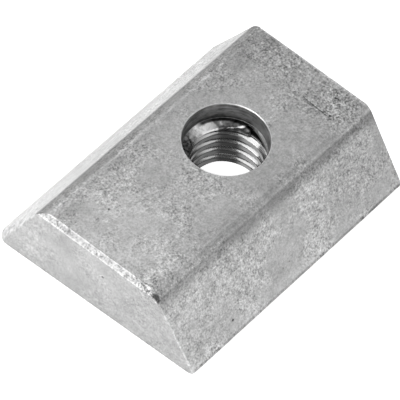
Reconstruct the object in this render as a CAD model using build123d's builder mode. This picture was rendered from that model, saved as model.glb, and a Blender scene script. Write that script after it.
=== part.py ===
from build123d import *
import math
import os

os.makedirs("parts", exist_ok=True)

# Slot nut, in millimetres. +Z runs up the thread, +X along the nut towards the end nearer the hole,
# +Y towards the back flank. The origin is on the thread's axis, at the base.
# The lead-in is drilled in the middle of the bar, and the thread was tapped a little in front of it.

# body
far_end_reach = 15.1  # thread axis to the square end
near_end_reach = 21.9  # thread axis to the sawn end, measured along the middle
body_height = 10.2
base_width = 29.5  # across the base, to where the flanks and the base would meet
flank_lean = 32.0  # degrees each flank leans in from upright
shoulder_radius = 2.3  # between each flank and the top
base_edge_radius = 0.4
sawn_end_lean = 2.0  # degrees the sawn end stands out of square
sawn_end_break = 0.45  # filed break along the top edge of the sawn end
far_end_break = 0.25

# threaded hole
bar_middle = 0.48  # thread axis to the bar's middle plane, where the lead-in stands
thread_size = 10.0
thread_pitch = 1.5
thread_depth_ratio = 0.4  # depth of the thread on one side, in pitches
lead_in_clearance = 0.1  # lead-in diameter over the thread's size
lead_in_depth = 2.5
rim_break = 0.08
mouth_break = 0.2  # at the thread's lower mouth

# worked out
flank_run = body_height * math.tan(math.radians(flank_lean))
half_base = base_width / 2
half_top = half_base - flank_run
sawn_allowance = half_base * math.tan(math.radians(sawn_end_lean)) + sawn_end_break
blank_length = near_end_reach + sawn_allowance + far_end_reach
lead_in_diameter = thread_size + lead_in_clearance
thread_bore_diameter = thread_size - 2 * thread_depth_ratio * thread_pitch

# outward directions of the sawn end, and of the breaks on the two ends
lean_cos = math.cos(math.radians(sawn_end_lean))
lean_sin = math.sin(math.radians(sawn_end_lean))
sawn_end = Plane(origin=(-near_end_reach, bar_middle, 0), z_dir=(-lean_cos, -lean_sin, 0))
sawn_end_slope = Plane(
    origin=(-near_end_reach, bar_middle, body_height - sawn_end_break),
    z_dir=(-lean_cos, -lean_sin, 1),
)
far_end_slope = Plane(
    origin=(far_end_reach, 0, body_height - far_end_break),
    z_dir=(1, 0, 1),
)

# the uncut blank's end, where the section is drawn
blank_end = Plane(
    origin=(far_end_reach - blank_length, bar_middle, 0),
    x_dir=(0, 1, 0),
    z_dir=(1, 0, 0),
)

with BuildPart() as nut_body:
    # dovetail section, run along the blank
    with BuildSketch(blank_end) as section:
        with BuildLine():
            Polyline(
                (-half_base, 0),
                (half_base, 0),
                (half_top, body_height),
                (-half_top, body_height),
                close=True,
            )
        make_face()
        fillet(section.vertices().group_by(Axis.Y)[-1], radius=shoulder_radius)
        fillet(section.vertices().group_by(Axis.Y)[0], radius=base_edge_radius)
    extrude(amount=blank_length)

    # sawn end, then the break along the top edge of each end
    split(bisect_by=sawn_end, keep=Keep.BOTTOM)
    split(bisect_by=sawn_end_slope, keep=Keep.BOTTOM)
    split(bisect_by=far_end_slope, keep=Keep.BOTTOM)

    # smooth lead-in, then the hole bored to the thread's crests
    with Locations((0, bar_middle, body_height)):
        Hole(radius=lead_in_diameter / 2, depth=lead_in_depth)
    with Locations((0, 0, body_height)):
        Hole(radius=thread_bore_diameter / 2)
    top_face = nut_body.faces().filter_by(Axis.Z).sort_by(Axis.Z)[-1]
    base_face = nut_body.faces().filter_by(Axis.Z).sort_by(Axis.Z)[0]
    chamfer(top_face.edges().filter_by(GeomType.CIRCLE), length=rim_break)
    chamfer(base_face.edges().filter_by(GeomType.CIRCLE), length=mouth_break)

nut_body.part.label = "nut_body"
export_step(nut_body.part, "parts/nut_body.step")
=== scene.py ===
import bmesh
import bpy
import math
import random
from mathutils import Matrix, Vector, noise


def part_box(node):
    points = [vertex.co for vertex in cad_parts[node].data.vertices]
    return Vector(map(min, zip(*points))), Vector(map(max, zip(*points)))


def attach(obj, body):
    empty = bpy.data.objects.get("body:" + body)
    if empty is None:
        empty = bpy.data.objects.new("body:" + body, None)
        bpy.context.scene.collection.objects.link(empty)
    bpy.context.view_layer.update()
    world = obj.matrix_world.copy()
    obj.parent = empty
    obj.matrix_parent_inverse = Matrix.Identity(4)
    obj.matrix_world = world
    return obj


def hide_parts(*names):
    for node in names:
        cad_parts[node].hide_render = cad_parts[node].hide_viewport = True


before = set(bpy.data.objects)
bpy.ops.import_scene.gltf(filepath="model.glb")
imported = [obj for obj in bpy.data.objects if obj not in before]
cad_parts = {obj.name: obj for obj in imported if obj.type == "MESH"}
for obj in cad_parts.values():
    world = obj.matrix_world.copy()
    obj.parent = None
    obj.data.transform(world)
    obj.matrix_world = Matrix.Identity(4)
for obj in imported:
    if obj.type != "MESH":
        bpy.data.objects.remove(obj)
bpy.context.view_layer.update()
low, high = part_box("nut_body")

# Sizes in metres. +X runs along the nut towards the end nearer the hole, +Y towards the back flank,
# +Z up the thread, whose axis is the Z axis. The bar's middle plane, where the lead-in stands, is a little
# behind it. The body and the lead-in are first made about the Z axis, and then shifted to that plane.
mm = 0.001

# body
height = high.z
far_end = high.x
base_reach = (high.y - low.y) / 2
bar_middle = (high.y + low.y) / 2
flank_lean = math.radians(32)
base_edge_radius = 0.4 * mm
shoulder_radius = 2.3 * mm
rounding_steps = 8
half_base = base_reach + base_edge_radius * (1 / math.tan(math.pi / 4 - flank_lean / 2) - 1)
half_top = half_base - height * math.tan(flank_lean)
rounding_middle = half_top - shoulder_radius * math.tan((math.pi / 2 - flank_lean) / 2)
far_end_break = 0.25 * mm
sharp_edge = math.radians(28)  # faces that meet more sharply than this are shaded apart

# sawn end: the cut is a little out of square, and less so at the top than at the base
sawn_base_reach = 21.87 * mm
sawn_top_reach = 21.99 * mm
sawn_base_lean = math.tan(math.radians(2.1))
sawn_top_lean = math.tan(math.radians(0.8))
sawn_end_break = 0.63 * mm
back_corner_wear = 0.85 * mm
front_corner_wear = 0.42 * mm
front_corner_wear_height = 2.5 * mm
corner_facets = ((-22.5, 0.73), (0, 1), (22.5, 0.73))  # turns in degrees, and shares of the wear

# unevenness: the body's faces are sliced, and pushed in by a slow wave with a ripple on it
slice_step = 0.75 * mm
first_slice_x = -21.4 * mm
first_slice_y = -base_reach + 0.4 * mm
first_slice_z = 0.5 * mm
unevenness = 0.025 * mm
wave_length = 5 * mm
ripple_length = 1.3 * mm
ripple_share = 0.4
ripple_shift = Vector((7, 3, 5))
level_height = mm  # the nut stands level, so nothing below this is pushed up

# hole
thread_size = 10 * mm
thread_pitch = 1.5 * mm
thread_crest_radius = 4.4 * mm
crest_share = 0.2  # half the crest's flat, in pitches
edge_share = 0.23  # where the crest's worn edge ends
edge_wear = 0.04 * mm
root_share = 1 / 16
thread_turns = 7
steps_in_turn = 120
lowest_crest_turn = 0.525  # how far round the crest's middle leaves the base
lead_in_radius = 5.05 * mm
lead_in_depth = 2.5 * mm
drill_point_slope = math.tan(math.radians(31))
drill_point_radius = 3.8 * mm  # inside this, the drill's cone is lost in the thread
shoulder = height - lead_in_depth
rim_break = 0.14 * mm
mouth_break = 0.03 * mm
under_base = 0.3 * mm  # how far the thread's void runs on below the base
over_shoulder = 0.01 * mm  # and above the lead-in's shoulder
same_point = 1e-7  # points nearer than this are one

# the first turn under the shoulder: angles round the thread, in degrees
first_turn_from = -70
first_turn_to = 75
torn_from = 6
torn_to = 51
torn_depth = 0.09 * mm
torn_grain = 0.32 * mm
sheared_foot = shoulder - 2.1 * mm
sheared_radius = thread_crest_radius + 0.3 * mm
sheared_flare = 0.33 * mm
notch_turn = 52
notch_height = shoulder - 0.35 * mm
notch_depth = 0.22 * mm

# pits in the top, the sawn end and the front flank: places, and half sizes in millimetres
pits = (
    (Vector((-16.43, 3.56, 10.2)) * mm, (0.15, 0.13, 0.08)),
    (Vector((-21.9, -0.63, 6.73)) * mm, (0.1, 0.13, 0.12)),
    (Vector((-13.59, -13.04, 1.97)) * mm, (0.17, 0.1, 0.12)),
)
pit_reach = 0.2 * mm  # how far the dark of a pit goes

# small pits scattered over the front flank: X, Z and half size, from and to, in millimetres
small_pits = 16
small_pits_seed = 3
small_pits_x = (-19, 14)
small_pits_z = (1, 8)
small_pits_size = (0.06, 0.13)
small_pits_width = 0.6  # across the flank, as a share of their size along it

# chip at the front end of the sawn end's break, and dent in the top near the far end
chip_middle = Vector((-21.75, -8.02, 9.42)) * mm
chip_radius = 0.66 * mm
chip_length = 0.4 * mm
chip_reach = 0.8 * mm
dent_x = 10.6 * mm
dent_y = -4 * mm

# hollows in the top face: X and Y in metres, turn in degrees, and half sizes in millimetres
top_hollows = (
    (-19.94 * mm, -6.44 * mm, -50, (0.5, 0.28, 0.04)),
    (-19.95 * mm, -0.5 * mm, -60, (0.57, 0.06, 0.06)),
    (-18.33 * mm, -3 * mm, -52, (1.3, 0.06, 0.06)),
    (dent_x, dent_y, -93, (2.7, 0.15, 0.06)),
)

# grains of the steel and the paper: how many to a metre
speckle_grain = 4000
pock_grain = 1300
patch_grain = 260
beaten_grain = 140
cloud_grain = 75
drawn_grain = 2600
scratch_grain = 2400
turned_grain = 4000
blotch_grain = 900
paper_grain = 900

# tones of the skin, where the plain skin is 1: how far each grain moves it, and what each place adds, most of
# it painted light or shade
steel_tone = 0.54  # the plain skin's own grey
speckle_share = 2.3
pock_share = 0.9
patch_share = 0.5
cloud_share = 0.3
drawn_share = 0.5
rough_far_gain = 0.7  # these three strengthen or weaken the speckle and the pocks
rough_near_gain = 0.5
end_smoothness = 0.5
rough_far_tone = -0.02
# painted light towards the near end, and painted shade towards the far end
near_part_painted_light = 0.08
far_part_painted_shade = -0.04
bar_tone = 0.97  # the two sides' tones are added to this
# painted shade on the sawn end's face
end_face_painted_shade = -0.18
# the front side's painted highlight bands on the shoulder, and its painted shade under the shoulder and
# towards the far end
front_upper_painted_highlight = 0.28
front_lower_painted_highlight = 0.12
front_painted_shade_under_shoulder = -0.36
front_far_painted_shade = -0.13
# the back side's painted highlight band, painted shade along the edge and on the top beside it, and a little
# painted light on the flank
back_painted_highlight = 0.25
back_edge_painted_shade = -0.4
back_flank_painted_light = 0.04
back_top_painted_shade = -0.14
# the break's painted shade, and painted highlights along its two edges
break_painted_shade = -0.36
break_edge_painted_highlight = 0.22
break_pock_share = 0.4
# painted shade on the feet, with a lighter painted reflection over the front one
foot_painted_shade = -0.33
over_foot_painted_reflection = 0.06
end_foot_painted_shade = -0.2
# painted highlights along the sawn end's front edge and the far end's top edge
end_edge_painted_highlight = 0.4
far_edge_painted_highlight = 0.25
# painted shade in the dent
dent_painted_shade = -0.25
# a painted glint on the hole's rim
rim_painted_glint = 0.8
# painted shade in the chip and the larger pits
chip_painted_shade = 0.7  # the chip and the pits take these shares of the tone away
pit_painted_shade = 0.6

# tones of the hole, as greys
# painted shade in the thread's roots, painted reflections on its crests, and painted light on its flanks,
# darker near and brighter far
root_painted_shade = 0.03
crest_front_painted_reflection = 0.24
crest_back_painted_reflection = 0.07
flank_near_painted_shade = 0.14
flank_far_painted_highlight = 0.52
brushed_near_tone = 0.2
brushed_far_tone = 0.95
brushed_scratch_share = 1.3
torn_tone = 0.2
torn_blotch_share = 1.2
torn_turned_share = 0.6
# a painted highlight line on the torn turn, and painted shade in the gap above it
torn_line_painted_highlight = 0.8
gap_painted_shade = 0.93
# the lead-in's wall, darkened with painted shade
lead_in_painted_shade = 0.25
lead_in_turned_share = 0.5
lead_in_blotch_share = 0.5
# painted light on the lead-in's wall at the far front
lead_in_far_painted_light = 0.12

# roughness, and the relief that the light catches
skin_roughness = 0.5
speckle_roughness = 0.2
break_roughness = -0.05
thread_roughness = -0.32
first_turn_roughness = 0.22  # added to the thread's
relief_strength = 0.5
relief_depth = 0.06 * mm
speckle_relief = 0.6
pock_relief = 0.8
patch_relief = 0.6
drawn_relief = 0.8
scratch_relief = 0.3

# floor and room
floor_size = 1.5
paper_dark = 0.74
paper_light = 0.76
paper_roughness = 0.9
paper_glow = 0.93
room_glow = 0.104

# lights: azimuth and elevation in degrees, distance and side in metres, power in watts
lights = {
    "left_softbox": (160, 30, 0.63, 0.315, 1.39),
    "back_softbox": (60, 50, 0.76, 0.5, 0.92),
    "right_softbox": (-50, 10, 0.76, 0.5, 0.42),
    "front_softbox": (-58, 48, 0.76, 0.5, 0.75),
    "thread_softbox": (158, 58, 0.63, 0.36, 0.62),
    "rim_softbox": (-155, 35, 0.63, 0.3, 0.3),
    "over_softbox": (37, 75, 0.76, 0.38, 0.18),
    "over_lamp": (95, 66, 0.2, 0.1, 0.057),
}

# camera, as fitted to the photograph
camera_turn = math.radians(-53.142)
camera_rise = math.radians(53.559)
camera_roll = math.radians(5.466)
camera_distance = 536.41 * mm
camera_right = -2.39 * mm
camera_up = -0.837 * mm
camera_nearest = 10 * mm
lens_in_frames = 4671.242 / 400


def finished(bm, name):
    """Makes a mesh object of the bmesh, at the origin."""
    bmesh.ops.recalc_face_normals(bm, faces=bm.faces[:])
    mesh = bpy.data.meshes.new(name)
    bm.to_mesh(mesh)
    bm.free()
    piece = bpy.data.objects.new(name, mesh)
    bpy.context.scene.collection.objects.link(piece)
    return piece


def long_edges(bm, y_sign, upper):
    """The edges along X on one side of the bar, at the top or at the base."""
    return [
        e
        for e in bm.edges
        if all(v.co.y * y_sign > 0 and (v.co.z > height / 2) == upper for v in e.verts)
        and abs(e.verts[0].co.x - e.verts[1].co.x) > far_end
    ]


def round_long_edges(bm, upper, radius, opening):
    """Rounds both long edges at one height, where the two faces meet at the angle called opening."""
    edges = long_edges(bm, -1, upper) + long_edges(bm, 1, upper)
    bmesh.ops.bevel(
        bm,
        geom=edges,
        offset=radius / math.tan(opening / 2),
        offset_type="OFFSET",
        segments=rounding_steps,
        profile=0.5,
        affect="EDGES",
        material=-1,
    )


def cut_away(bm, point, outward):
    """Cuts off what lies beyond a plane, and closes the cut with a face."""
    cut = bmesh.ops.bisect_plane(
        bm,
        geom=bm.verts[:] + bm.edges[:] + bm.faces[:],
        plane_co=point,
        plane_no=outward,
        clear_outer=True,
    )
    rim = [e for e in cut["geom_cut"] if isinstance(e, bmesh.types.BMEdge)]
    bmesh.ops.holes_fill(bm, edges=rim, sides=0)


def sawn_reach(y, z):
    """How far the sawn end stands from the thread. The distance across and the height may be wires."""
    share = z / height
    reach = sawn_base_reach + (sawn_top_reach - sawn_base_reach) * share
    lean = sawn_base_lean + (sawn_top_lean - sawn_base_lean) * share
    return reach + lean * y


def slice_body(bm, axis, start, stop):
    """Cuts the body's faces across an axis at even steps, so that they can take a little unevenness."""
    place = start
    while place < stop:
        bmesh.ops.bisect_plane(
            bm,
            geom=bm.verts[:] + bm.edges[:] + bm.faces[:],
            plane_co=axis * place,
            plane_no=axis,
            dist=same_point,
        )
        place += slice_step


def blunt_upright_edge(bm, y_sign, depth, top):
    """Rounds the edge between the sawn end and one flank at its foot, and less so further up."""

    def on_edge(z):
        y = y_sign * (half_base - z * math.tan(flank_lean))
        return Vector((-sawn_reach(y, z), y, z))

    for turn, share in corner_facets:
        outward = Matrix.Rotation(math.radians(turn), 3, "Z") @ Vector((-1, y_sign, 0)).normalized()
        across = Vector((-outward.y, outward.x, 0))
        foot = on_edge(0) - outward * depth * share
        facing = across.cross(on_edge(top) - foot)
        if facing.dot(outward) < 0:
            facing.negate()
        cut_away(bm, foot, facing)


def push_in(bm):
    """Makes the sliced faces a little uneven, inwards only."""
    bm.normal_update()
    for v in bm.verts:
        wave = noise.noise(v.co / wave_length)
        wave += ripple_share * noise.noise(v.co / ripple_length + ripple_shift)
        inward = v.normal * unevenness * (wave - 1)
        v.co += Vector((inward.x, inward.y, inward.z if v.co.z > level_height else 0))


def dovetail_bar():
    """The rolled bar, cut to length, with its breaks and its worn corners."""
    bm = bmesh.new()
    corners = [(-half_base, 0), (half_base, 0), (half_top, height), (-half_top, height)]
    section = bm.faces.new([bm.verts.new((far_end, y, z)) for y, z in corners])
    drawn = bmesh.ops.extrude_face_region(bm, geom=[section])
    for v in drawn["geom"]:
        if isinstance(v, bmesh.types.BMVert):
            v.co.x = -sawn_reach(v.co.y, v.co.z)
    bmesh.ops.recalc_face_normals(bm, faces=bm.faces[:])
    round_long_edges(bm, True, shoulder_radius, math.pi / 2 + flank_lean)
    round_long_edges(bm, False, base_edge_radius, math.pi / 2 - flank_lean)
    for v in bm.verts:
        if v.co.x < 0:
            v.co.x = -sawn_reach(v.co.y, v.co.z)
    break_point = (-sawn_reach(0, height), 0, height - sawn_end_break)
    cut_away(bm, break_point, (-1, -sawn_top_lean, 1))
    cut_away(bm, (far_end, 0, height - far_end_break), (1, 0, 1))
    blunt_upright_edge(bm, 1, back_corner_wear, height)
    blunt_upright_edge(bm, -1, front_corner_wear, front_corner_wear_height)
    slice_body(bm, Vector((1, 0, 0)), first_slice_x, far_end)
    slice_body(bm, Vector((0, 1, 0)), first_slice_y, base_reach)
    slice_body(bm, Vector((0, 0, 1)), first_slice_z, height)
    push_in(bm)
    bmesh.ops.translate(bm, vec=(0, bar_middle, 0), verts=bm.verts[:])
    return finished(bm, "nut")


def smooth_step(value, start, end):
    share = min(max((value - start) / (end - start), 0), 1)
    return share * share * (3 - 2 * share)


def sheared_off(turn, radius, z):
    """How much deeper the wall is where the crest is sheared down to a ramp."""
    sheared = smooth_step(turn, torn_from + 4, torn_from)
    ramp = sheared_radius + sheared_flare * smooth_step(z, sheared_foot, shoulder - 0.3 * mm)
    return sheared * max(ramp - radius, 0)


def torn_off(turn, place):
    """How much deeper the wall is where the crest is torn, and at the notch where the tear ends."""
    torn = smooth_step(turn, torn_to + 3, torn_to) * smooth_step(turn, torn_from - 3, torn_from + 6)
    torn *= smooth_step(place.z, shoulder - 1.1 * mm, shoulder - 0.8 * mm)
    notch = smooth_step(abs(turn - notch_turn), 5, 1)
    notch *= smooth_step(abs(place.z - notch_height), 0.3 * mm, 0.1 * mm)
    return torn * (0.5 + noise.noise(place / torn_grain)) * 2 * torn_depth + notch * notch_depth


def tear_first_turn(bm):
    """Tears the topmost crest: rough where the tap broke in, and sheared down to a ramp further round."""
    for v in bm.verts:
        turn = math.degrees(math.atan2(v.co.y, v.co.x))
        at_height = sheared_foot < v.co.z < shoulder + thread_pitch
        if at_height and first_turn_from < turn < first_turn_to:
            radius = math.hypot(v.co.x, v.co.y)
            wanted = radius + sheared_off(turn, radius, v.co.z) + torn_off(turn, v.co)
            v.co.x *= wanted / radius
            v.co.y *= wanted / radius


def thread_void():
    """The tapped void: one pitch of the thread's outline spun into a helix that ends at the shoulder."""
    bm = bmesh.new()
    major = thread_size / 2
    outline = [
        (thread_crest_radius, 0),
        (thread_crest_radius, crest_share),
        (thread_crest_radius + edge_wear, edge_share),
        (major, 0.5 - root_share),
        (major, 0.5 + root_share),
        (thread_crest_radius + edge_wear, 1 - edge_share),
        (thread_crest_radius, 1 - crest_share),
        (thread_crest_radius, 1),
    ]
    drop = (lowest_crest_turn + 1) * thread_pitch
    points = [bm.verts.new((r, 0, share * thread_pitch - drop)) for r, share in outline]
    for a, b in zip(points, points[1:]):
        bm.edges.new((a, b))
    bmesh.ops.subdivide_edges(bm, edges=bm.edges[:], cuts=2)
    bmesh.ops.spin(
        bm,
        geom=bm.verts[:] + bm.edges[:],
        cent=(0, 0, 0),
        axis=(0, 0, 1),
        dvec=(0, 0, thread_pitch / steps_in_turn),
        angle=2 * math.pi * thread_turns,
        steps=steps_in_turn * thread_turns,
    )
    bmesh.ops.remove_doubles(bm, verts=bm.verts[:], dist=same_point)
    tear_first_turn(bm)
    cut_away(bm, (0, 0, -under_base), (0, 0, -1))
    cut_away(bm, (0, 0, shoulder + over_shoulder), (0, 0, 1))
    return finished(bm, "thread_void")


def turned_void(name, outline, middle):
    """A round void: an outline of radius and height, spun about an upright axis and closed at both ends."""
    bm = bmesh.new()
    points = [bm.verts.new((r, 0, z)) for r, z in outline]
    for a, b in zip(points, points[1:]):
        bm.edges.new((a, b))
    bmesh.ops.spin(
        bm,
        geom=bm.verts[:] + bm.edges[:],
        cent=(0, 0, 0),
        axis=(0, 0, 1),
        angle=2 * math.pi,
        steps=steps_in_turn,
        use_merge=True,
    )
    bmesh.ops.holes_fill(bm, edges=[e for e in bm.edges if e.is_boundary], sides=0)
    bmesh.ops.translate(bm, vec=(0, middle, 0), verts=bm.verts[:])
    return finished(bm, name)


def lead_in_void():
    """The lead-in, from the cone that the drill left at its bottom to the broken rim."""
    cone_depth = (lead_in_radius - drill_point_radius) * drill_point_slope
    outline = [
        (drill_point_radius, shoulder - cone_depth),
        (lead_in_radius, shoulder),
        (lead_in_radius, height - rim_break),
        (lead_in_radius + 3 * rim_break, height + 2 * rim_break),
    ]
    return turned_void("lead_in_void", outline, bar_middle)


def mouth_void():
    """The small break round the thread's lower mouth."""
    mouth = thread_crest_radius + mouth_break
    outline = [(mouth + mouth_break, -mouth_break), (mouth - 2 * mouth_break, 2 * mouth_break)]
    return turned_void("mouth_void", outline, 0)


def hollow(bm, place, turn, size):
    """Adds a ball, flattened or drawn out by its half sizes in millimetres, to the marks."""
    shape = Matrix.Translation(place) @ Matrix.Rotation(math.radians(turn), 4, "Z")
    bmesh.ops.create_icosphere(bm, subdivisions=2, radius=mm, matrix=shape @ Matrix.Diagonal((*size, 1)))


def marks_void():
    """The nicks, pits and scratches, and the chip, a three-sided cone whose wide end faces out at -X."""
    bm = bmesh.new()
    for place, size in pits:
        hollow(bm, place, 0, size)
    for x, y, turn, size in top_hollows:
        hollow(bm, Vector((x, y, height)), turn, size)
    chance = random.Random(small_pits_seed)
    for _ in range(small_pits):
        z = chance.uniform(*small_pits_z) * mm
        y = bar_middle - half_base + z * math.tan(flank_lean)
        size = chance.uniform(*small_pits_size)
        x = chance.uniform(*small_pits_x) * mm
        hollow(bm, Vector((x, y, z)), 0, (size, size * small_pits_width, size))
    chip_turn = Matrix(((0, 0, -1), (0, 1, 0), (1, 0, 0))).to_4x4()
    bmesh.ops.create_cone(
        bm,
        cap_ends=True,
        segments=3,
        radius1=0,
        radius2=chip_radius,
        depth=chip_length,
        matrix=Matrix.Translation(chip_middle) @ chip_turn @ Matrix.Rotation(-math.pi / 2, 4, "Z"),
    )
    return finished(bm, "marks_void")


def take_out(piece, void):
    """Cuts the void out of the piece, and drops the void."""
    cut = piece.modifiers.new("cut", "BOOLEAN")
    cut.operation = "DIFFERENCE"
    cut.solver = "EXACT"
    cut.object = void
    bpy.context.view_layer.update()
    shaped = bpy.data.meshes.new_from_object(piece.evaluated_get(bpy.context.evaluated_depsgraph_get()))
    piece.modifiers.clear()
    old = piece.data
    piece.data = shaped
    shaped.name = piece.name
    bpy.data.meshes.remove(old)
    bpy.data.objects.remove(void)


def slot_nut():
    nut = dovetail_bar()
    take_out(nut, thread_void())
    take_out(nut, lead_in_void())
    take_out(nut, mouth_void())
    take_out(nut, marks_void())
    for face in nut.data.polygons:
        face.use_smooth = True
    nut.data.set_sharp_from_angle(angle=sharp_edge)
    return nut


class Wire:
    """A value on its way between shader nodes, which sums and products can be made of."""

    def __init__(self, finish, socket):
        self.finish = finish
        self.socket = socket

    def maths(self, operation, first, second=0.0):
        return self.finish.node("Math", {"operation": operation}, {0: first, 1: second})

    def __abs__(self):
        return self.maths("ABSOLUTE", self)

    def __add__(self, other):
        return self.maths("ADD", self, other)

    __radd__ = __add__

    def __sub__(self, other):
        return self.maths("SUBTRACT", self, other)

    def __rsub__(self, other):
        return self.maths("SUBTRACT", other, self)

    def __mul__(self, other):
        return self.maths("MULTIPLY", self, other)

    __rmul__ = __mul__

    def __truediv__(self, other):
        return self.maths("DIVIDE", self, other)

    def __pow__(self, other):
        return self.maths("POWER", self, other)


class Finish:
    """A material, or the studio's surround, and its nodes."""

    def __init__(self, data):
        data.use_nodes = True
        self.tree = data.node_tree
        self.tree.nodes.clear()

    def node(self, kind, settings, sockets, output=0):
        made = self.tree.nodes.new("ShaderNode" + kind)
        for name, value in settings.items():
            setattr(made, name, value)
        for name, value in sockets.items():
            if isinstance(value, Wire):
                self.tree.links.new(value.socket, made.inputs[name])
            else:
                made.inputs[name].default_value = value
        return Wire(self, made.outputs[output]) if made.outputs else None

    def object_place(self):
        return self.node("TexCoord", {}, {}, output=3)

    def object_normal(self):
        return self.node("TexCoord", {}, {}, output=1)

    def component(self, vector, axis):
        return self.node("SeparateXYZ", {}, {"Vector": vector}, output=axis)

    def vector(self, x, y, z):
        return self.node("CombineXYZ", {}, {0: x, 1: y, 2: z})

    def grain(self, place, scale, detail=2.0, roughness=0.5):
        sockets = {"Vector": place, "Scale": scale, "Detail": detail, "Roughness": roughness}
        return self.node("TexNoise", {}, sockets)

    def ramp(self, value, low_in, high_in, low_out=0.0, high_out=1.0):
        return self.node(
            "MapRange",
            {"interpolation_type": "SMOOTHSTEP"},
            {"Value": value, "From Min": low_in, "From Max": high_in, "To Min": low_out, "To Max": high_out},
        )

    def band(self, value, start, full_from, full_to, end):
        """1 between two values, and fading to 0 on either side."""
        return self.ramp(value, start, full_from) * self.ramp(value, end, full_to)

    def within(self, value, middle, full, reach):
        """1 as far as full from the middle, and fading to 0 at the reach."""
        return self.ramp(abs(value - middle), reach, full)

    def near(self, place, point, reach):
        distance = self.node("VectorMath", {"operation": "DISTANCE"}, {0: place, 1: point}, output=1)
        return self.ramp(distance, reach, reach * 0.6)

    def blend(self, factor, first, second):
        return self.node("Mix", {"data_type": "RGBA"}, {0: factor, 6: first, 7: second}, output=2)


def grey(value):
    return (value, value, value, 1.0)


class NutFinish(Finish):
    """The nut's finish, with the places on the nut and the grains that its tones are made of."""

    def __init__(self, data):
        super().__init__(data)
        self.place = self.object_place()
        self.x = self.component(self.place, 0)
        self.y = self.component(self.place, 1)
        self.z = self.component(self.place, 2)
        self.off_middle = self.y - bar_middle
        self.end_depth = self.x + sawn_reach(self.off_middle, self.z)
        self.front = self.ramp(self.off_middle, mm, -mm)
        along = abs(self.component(self.object_normal(), 0))
        self.on_end = self.ramp(along, 0.8, 0.95)
        self.beside = 1 - self.ramp(along, 0.4, 0.6)
        self.find_hole()
        self.find_shoulders()
        self.find_break()
        self.make_grains()
        self.find_rough_places()

    def find_hole(self):
        """The hole, the thread in it, and the thread's first turn."""
        self.radius = (self.x * self.x + self.y * self.y) ** 0.5
        self.hole_radius = (self.x * self.x + self.off_middle * self.off_middle) ** 0.5
        self.in_hole = self.ramp(self.hole_radius, lead_in_radius + 0.03 * mm, lead_in_radius + 0.01 * mm)
        self.on_thread = self.ramp(self.hole_radius, lead_in_radius - 0.02 * mm, lead_in_radius - 0.06 * mm)
        self.first_turn = self.ramp(self.z, shoulder - 1.35 * mm, shoulder - 1.2 * mm)

    def find_shoulders(self):
        """The shoulders and the flanks, told by the angle round the shoulder, in degrees from the top."""
        outward = abs(self.off_middle) - rounding_middle
        upward = self.z - (height - shoulder_radius)
        turn = self.node("Math", {"operation": "ARCTAN2"}, {0: outward, 1: upward})
        self.angle = turn * (180 / math.pi)
        self.on_shoulder = self.band(self.angle, 0, 12, 54, 66) * (1 - self.in_hole) * self.beside
        self.on_flank = self.ramp(self.angle, 46, 57) * self.beside

    def find_break(self):
        """The sawn end's break, a plane at 45 degrees: what lies on it has the same height less X."""
        across_break = self.z - self.x - self.off_middle * sawn_top_lean
        plane = height + sawn_top_reach - sawn_end_break
        self.on_break = self.ramp(across_break, plane - 0.07 * mm, plane - 0.03 * mm)

    def make_grains(self):
        """Grains of several sizes, and lines drawn along the bar, down the hole and round it."""
        self.speckle = self.grain(self.place, speckle_grain, 4.0, 0.7)
        self.pocks = self.grain(self.place, pock_grain, 3.0, 0.6)
        self.patches = self.grain(self.place, patch_grain, 3.0, 0.6)
        self.cloud = self.grain(self.place, cloud_grain, 2.0)
        self.drawn = self.grain(self.vector(self.x * 0.02, self.y, self.z), drawn_grain, 3.0, 0.7)
        self.scratches = self.grain(self.vector(self.x, self.y, self.z * 0.15), scratch_grain, 2.0, 0.6)
        self.turned = self.grain(self.vector(self.x * 0.1, self.y * 0.1, self.z), turned_grain, 2.0, 0.6)
        self.blotches = self.grain(self.place, blotch_grain, 2.0, 0.6)

    def find_rough_places(self):
        """Where the blasting shows most: in patches, at the far end and round the near front corner."""
        self.rough_far = self.ramp(self.x + (self.cloud - 0.5) * 12 * mm, 6.5 * mm, 11 * mm)
        self.rough_far = self.rough_far * self.ramp(self.off_middle, -9 * mm, -7 * mm)
        rough_near = self.ramp(self.x + (self.cloud - 0.5) * 10 * mm, -15 * mm, -19 * mm)
        rough_near = rough_near * self.ramp(self.off_middle, -4 * mm, -8 * mm)
        beaten = self.ramp(self.grain(self.place, beaten_grain, 3.0, 0.6), 0.42, 0.58, 0.6, 1.4)
        coarse = beaten + self.rough_far * rough_far_gain + rough_near * rough_near_gain
        self.coarse = coarse * (1 - self.on_end * end_smoothness)


def blasted_skin(f):
    """The plain skin: speckled and pocked, in patches, a little lighter towards the near end with painted
    light, and darker towards the far end with painted shade.
    """
    skin = 1 + ((f.speckle - 0.5) * speckle_share + (f.pocks - 0.5) * pock_share) * f.coarse
    skin = skin + (f.patches - 0.5) * patch_share + (f.cloud - 0.5) * cloud_share
    skin = skin + f.rough_far * rough_far_tone
    # painted light towards the near end, painted shade towards the far end
    skin = skin + f.ramp(f.x, -9 * mm, -17 * mm) * near_part_painted_light * (1 - f.on_end)
    return skin + f.ramp(f.x, 4 * mm, 12 * mm) * far_part_painted_shade


def front_side(f):
    """The front shoulder and flank: two painted highlight bands round the shoulder, and painted shade under
    it and towards the far end.
    """
    tone = f.band(f.angle, 3, 10, 21, 28) * front_upper_painted_highlight
    tone = tone + f.band(f.angle, 38, 43, 45, 50) * front_lower_painted_highlight
    tone = tone + f.on_flank * f.ramp(f.z, 7.6 * mm, 9 * mm) * front_painted_shade_under_shoulder
    return tone + f.on_flank * f.ramp(f.x, -4 * mm, 10 * mm) * front_far_painted_shade


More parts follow.
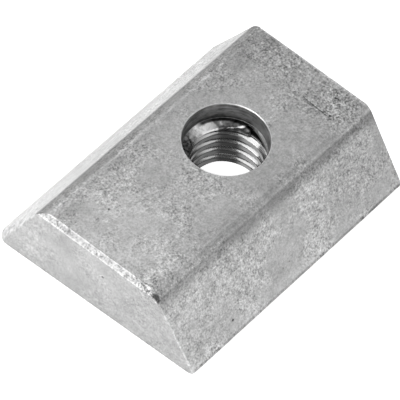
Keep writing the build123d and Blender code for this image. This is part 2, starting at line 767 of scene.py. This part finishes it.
def back_side(f):
    """The back shoulder and flank: a painted highlight band, a painted shade along the edge, painted shade on
    the top beside them, and a little painted light on the flank.
    """
    tone = f.band(f.angle, 3, 12, 24, 32) * back_painted_highlight
    tone = tone + f.ramp(f.angle, 30, 50) * f.ramp(f.z, 8.6 * mm, 9 * mm) * back_edge_painted_shade
    tone = tone + f.on_flank * f.ramp(f.z, 8.9 * mm, 8.5 * mm) * back_flank_painted_light
    return tone + f.ramp(f.off_middle, 4 * mm, 7 * mm) * (1 - f.on_flank) * back_top_painted_shade


def rolled_sides(f, skin):
    """Gives the skin its two sides' painted light and shade, the lines drawn along the shoulders, and the
    ends' painted shade.
    """
    back = back_side(f)
    sides = back + f.front * (front_side(f) - back)
    skin = skin * (bar_tone + sides * f.beside)
    # the ends' painted shade is added here with the drawn lines
    return skin + f.on_shoulder * (f.drawn - 0.5) * drawn_share + f.on_end * end_face_painted_shade


def filed_break(f):
    """The break of the sawn end: pocked, darkened with painted shade, between two edges with painted
    highlights.
    """
    lower_edge = height - sawn_end_break
    edges = f.ramp(f.z, height - 0.16 * mm, height - 0.06 * mm)
    edges = edges + f.ramp(f.z, lower_edge + 0.16 * mm, lower_edge + 0.06 * mm)
    return f.on_break * ((f.pocks - 0.5) * break_pock_share + edges * break_edge_painted_highlight + break_painted_shade)


def painted_light_and_shade(f):
    """Painted light and shade: painted shade on the feet with a lighter painted reflection over the front
    one, painted highlights on the edges, painted shade in the dent, and the rim's painted glint.
    """
    foot = f.ramp(f.z, 0.75 * mm, 0.55 * mm) * f.beside
    over_foot = f.band(f.z, 0.6 * mm, 0.9 * mm, 1.2 * mm, 1.9 * mm) * f.front * f.beside
    end_foot = f.ramp(f.z, 0.16 * mm, 0.08 * mm) * f.on_end
    end_edge = f.ramp(f.end_depth, 0.34 * mm, 0.18 * mm) * f.beside * f.front
    far_edge = f.ramp(f.x, far_end - 0.5 * mm, far_end - 0.35 * mm)
    far_edge = far_edge * f.ramp(f.z, height - 0.4 * mm, height - 0.3 * mm)
    dent = f.within(f.x, dent_x, 0.1 * mm, 0.3 * mm) * f.within(f.y, dent_y, 2.2 * mm, 3 * mm)
    rim_reach = lead_in_radius + rim_break
    rim = f.ramp(f.hole_radius, rim_reach + 0.02 * mm, rim_reach - 0.02 * mm)
    feet = foot * foot_painted_shade + over_foot * over_foot_painted_reflection + end_foot * end_foot_painted_shade
    edges = end_edge * end_edge_painted_highlight + far_edge * far_edge_painted_highlight
    return feet + edges + dent * dent_painted_shade + rim * rim_painted_glint


def marked(f, skin):
    """Darkens the chip and the larger pits with painted shade."""
    chipped = f.near(f.place, chip_middle, chip_reach) * f.ramp(f.end_depth, 0.06 * mm, 0.1 * mm)
    skin = skin * (1 - chipped * chip_painted_shade)
    for place, _ in pits:
        skin = skin * (1 - f.near(f.place, place, pit_reach) * pit_painted_shade)
    return skin


def plain_turns(f):
    """The thread's turns: roots darkened with painted shade, crests with painted reflections on the far side,
    and flanks with painted light, brighter towards the far end.
    """
    major = thread_size / 2
    flank = f.ramp(f.radius, thread_crest_radius + 0.01 * mm, thread_crest_radius + 0.06 * mm)
    flank = flank * f.ramp(f.radius, major - 0.06 * mm, major - 0.16 * mm)
    crest = f.ramp(f.radius, thread_crest_radius + 0.05 * mm, thread_crest_radius + 0.02 * mm)
    crest_painted_reflection = f.ramp(f.y, 2 * mm, 0.8 * mm) * crest_front_painted_reflection
    crest_painted_reflection = crest_painted_reflection + f.ramp(f.y, 3.2 * mm, 3.8 * mm) * crest_back_painted_reflection
    flank_painted_light = f.ramp(f.x, -mm, 2.6 * mm, flank_near_painted_shade, flank_far_painted_highlight)
    return root_painted_shade + crest * crest_painted_reflection * f.ramp(f.x, 0, mm) + flank * flank_painted_light


def torn_turns(f, turns):
    """Gives the turns their first one: brushed, then torn with a painted highlight line, and painted shade in
    the gap above.
    """
    brushed = f.first_turn * f.ramp(f.x, 2.7 * mm, 2.4 * mm)
    brushed_tone = f.ramp(f.x, -1.5 * mm, 1.5 * mm, brushed_near_tone, brushed_far_tone)
    brushed_tone = brushed_tone + (f.scratches - 0.5) * brushed_scratch_share
    turns = turns + brushed * (brushed_tone - turns)
    torn = f.first_turn * (1 - brushed) * f.ramp(f.y, 0, 0.6 * mm)
    rough_tone = torn_tone + (f.blotches - 0.5) * torn_blotch_share + (f.turned - 0.5) * torn_turned_share
    turns = turns + torn * (rough_tone - turns)
    line = f.within(f.z + f.y * 0.32, 7.77 * mm, 0.05 * mm, 0.1 * mm)
    line = line * f.within(f.y, 2.2 * mm, 0.7 * mm, 0.9 * mm)
    turns = turns + line * torn * torn_line_painted_highlight
    gap = f.ramp(f.hole_radius, lead_in_radius - 0.45 * mm, lead_in_radius - 0.25 * mm)
    gap = gap * f.ramp(f.x, 0.4 * mm, 1.4 * mm)
    return turns * (1 - gap * f.first_turn * gap_painted_shade)


def lead_in_wall(f):
    """The lead-in's wall: darkened with painted shade, with turned lines and blotches, and painted light at
    the far front.
    """
    wall = lead_in_painted_shade + (f.turned - 0.5) * lead_in_turned_share + (f.blotches - 0.5) * lead_in_blotch_share
    return wall + f.ramp(f.x, 3.5 * mm, 5 * mm) * f.ramp(f.y, mm, 0) * lead_in_far_painted_light


def steel_relief(f):
    """The fine relief of the blasting, of the drawn shoulders and of the scratches in the hole."""
    skin = (f.speckle * speckle_relief + f.pocks * pock_relief) * f.coarse + f.patches * patch_relief
    lines = f.drawn * f.on_shoulder * drawn_relief + f.scratches * f.in_hole * scratch_relief
    return skin * (1 - f.in_hole) + lines


def blasted_steel():
    """Pale blasted steel, streaked along its rolled shoulders, with painted light and shade over it, painted
    highlights along its break, and a hole darkened with painted shade.
    """
    material = bpy.data.materials.new("blasted_steel")
    f = NutFinish(material)
    skin = rolled_sides(f, blasted_skin(f)) + filed_break(f) + painted_light_and_shade(f)
    outside = f.blend(marked(f, skin) * steel_tone, grey(0), grey(1))
    wall = lead_in_wall(f)
    hole = wall + f.on_thread * (torn_turns(f, plain_turns(f)) - wall)
    colour = f.blend(f.in_hole, outside, f.blend(hole, grey(0), grey(1)))

    roughness = skin_roughness + (f.speckle - 0.5) * speckle_roughness + f.on_break * break_roughness
    hole_roughness = thread_roughness + first_turn_roughness * f.first_turn
    roughness = roughness + f.in_hole * f.on_thread * hole_roughness
    relief = {"Strength": relief_strength, "Distance": relief_depth, "Height": steel_relief(f)}
    shader = f.node(
        "BsdfPrincipled",
        {},
        {
            "Base Color": colour,
            "Roughness": roughness,
            "Metallic": 1.0,
            "Normal": f.node("Bump", {}, relief),
        },
    )
    f.node("OutputMaterial", {}, {"Surface": shader})
    return material


def paper_floor():
    bm = bmesh.new()
    bmesh.ops.create_grid(bm, x_segments=1, y_segments=1, size=floor_size)
    floor = finished(bm, "floor")
    material = bpy.data.materials.new("floor_paper")
    f = Finish(material)
    tone = f.blend(f.grain(f.object_place(), paper_grain), grey(paper_dark), grey(paper_light))
    shader = f.node(
        "BsdfPrincipled",
        {},
        {
            "Base Color": tone,
            "Roughness": paper_roughness,
            "Emission Color": grey(1.0),
            "Emission Strength": paper_glow,
        },
    )
    f.node("OutputMaterial", {}, {"Surface": shader})
    floor.data.materials.append(material)


def direction(azimuth, elevation):
    """The direction towards a place in the room, as a vector one long."""
    level = math.cos(elevation)
    return Vector((math.cos(azimuth) * level, math.sin(azimuth) * level, math.sin(elevation)))


def soft_light(name, azimuth, elevation, distance, side, power):
    data = bpy.data.lights.new(name, "AREA")
    data.shape = "SQUARE"
    data.size = side
    data.energy = power
    lamp = bpy.data.objects.new(name, data)
    bpy.context.scene.collection.objects.link(lamp)
    towards = direction(math.radians(azimuth), math.radians(elevation))
    lamp.location = towards * distance
    lamp.rotation_euler = towards.to_track_quat("Z", "Y").to_euler()


def studio():
    world = bpy.data.worlds.new("studio")
    bpy.context.scene.world = world
    f = Finish(world)
    glow = f.node("Background", {}, {"Color": grey(1.0), "Strength": room_glow})
    f.node("OutputWorld", {}, {"Surface": glow})
    for name, settings in lights.items():
        soft_light(name, *settings)


def photo_camera():
    data = bpy.data.cameras.new("camera")
    data.lens = lens_in_frames * data.sensor_width
    data.clip_start = camera_nearest
    camera = bpy.data.objects.new("camera", data)
    bpy.context.scene.collection.objects.link(camera)
    bpy.context.scene.camera = camera
    back = direction(camera_turn - math.pi / 2, camera_rise)
    level = Vector((math.cos(camera_turn), math.sin(camera_turn), 0))
    right = Matrix.Rotation(camera_roll, 3, back) @ level
    up = back.cross(right)
    aim = Vector((0, bar_middle, 0))
    camera.location = aim + back * camera_distance + right * camera_right + up * camera_up
    camera.rotation_euler = Matrix((right, up, back)).transposed().to_euler()


nut = slot_nut()
nut.data.materials.clear()
nut.data.materials.append(blasted_steel())
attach(nut, "root")
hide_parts("nut_body")
paper_floor()
studio()
photo_camera()
bpy.context.scene.view_settings.view_transform = "Standard"
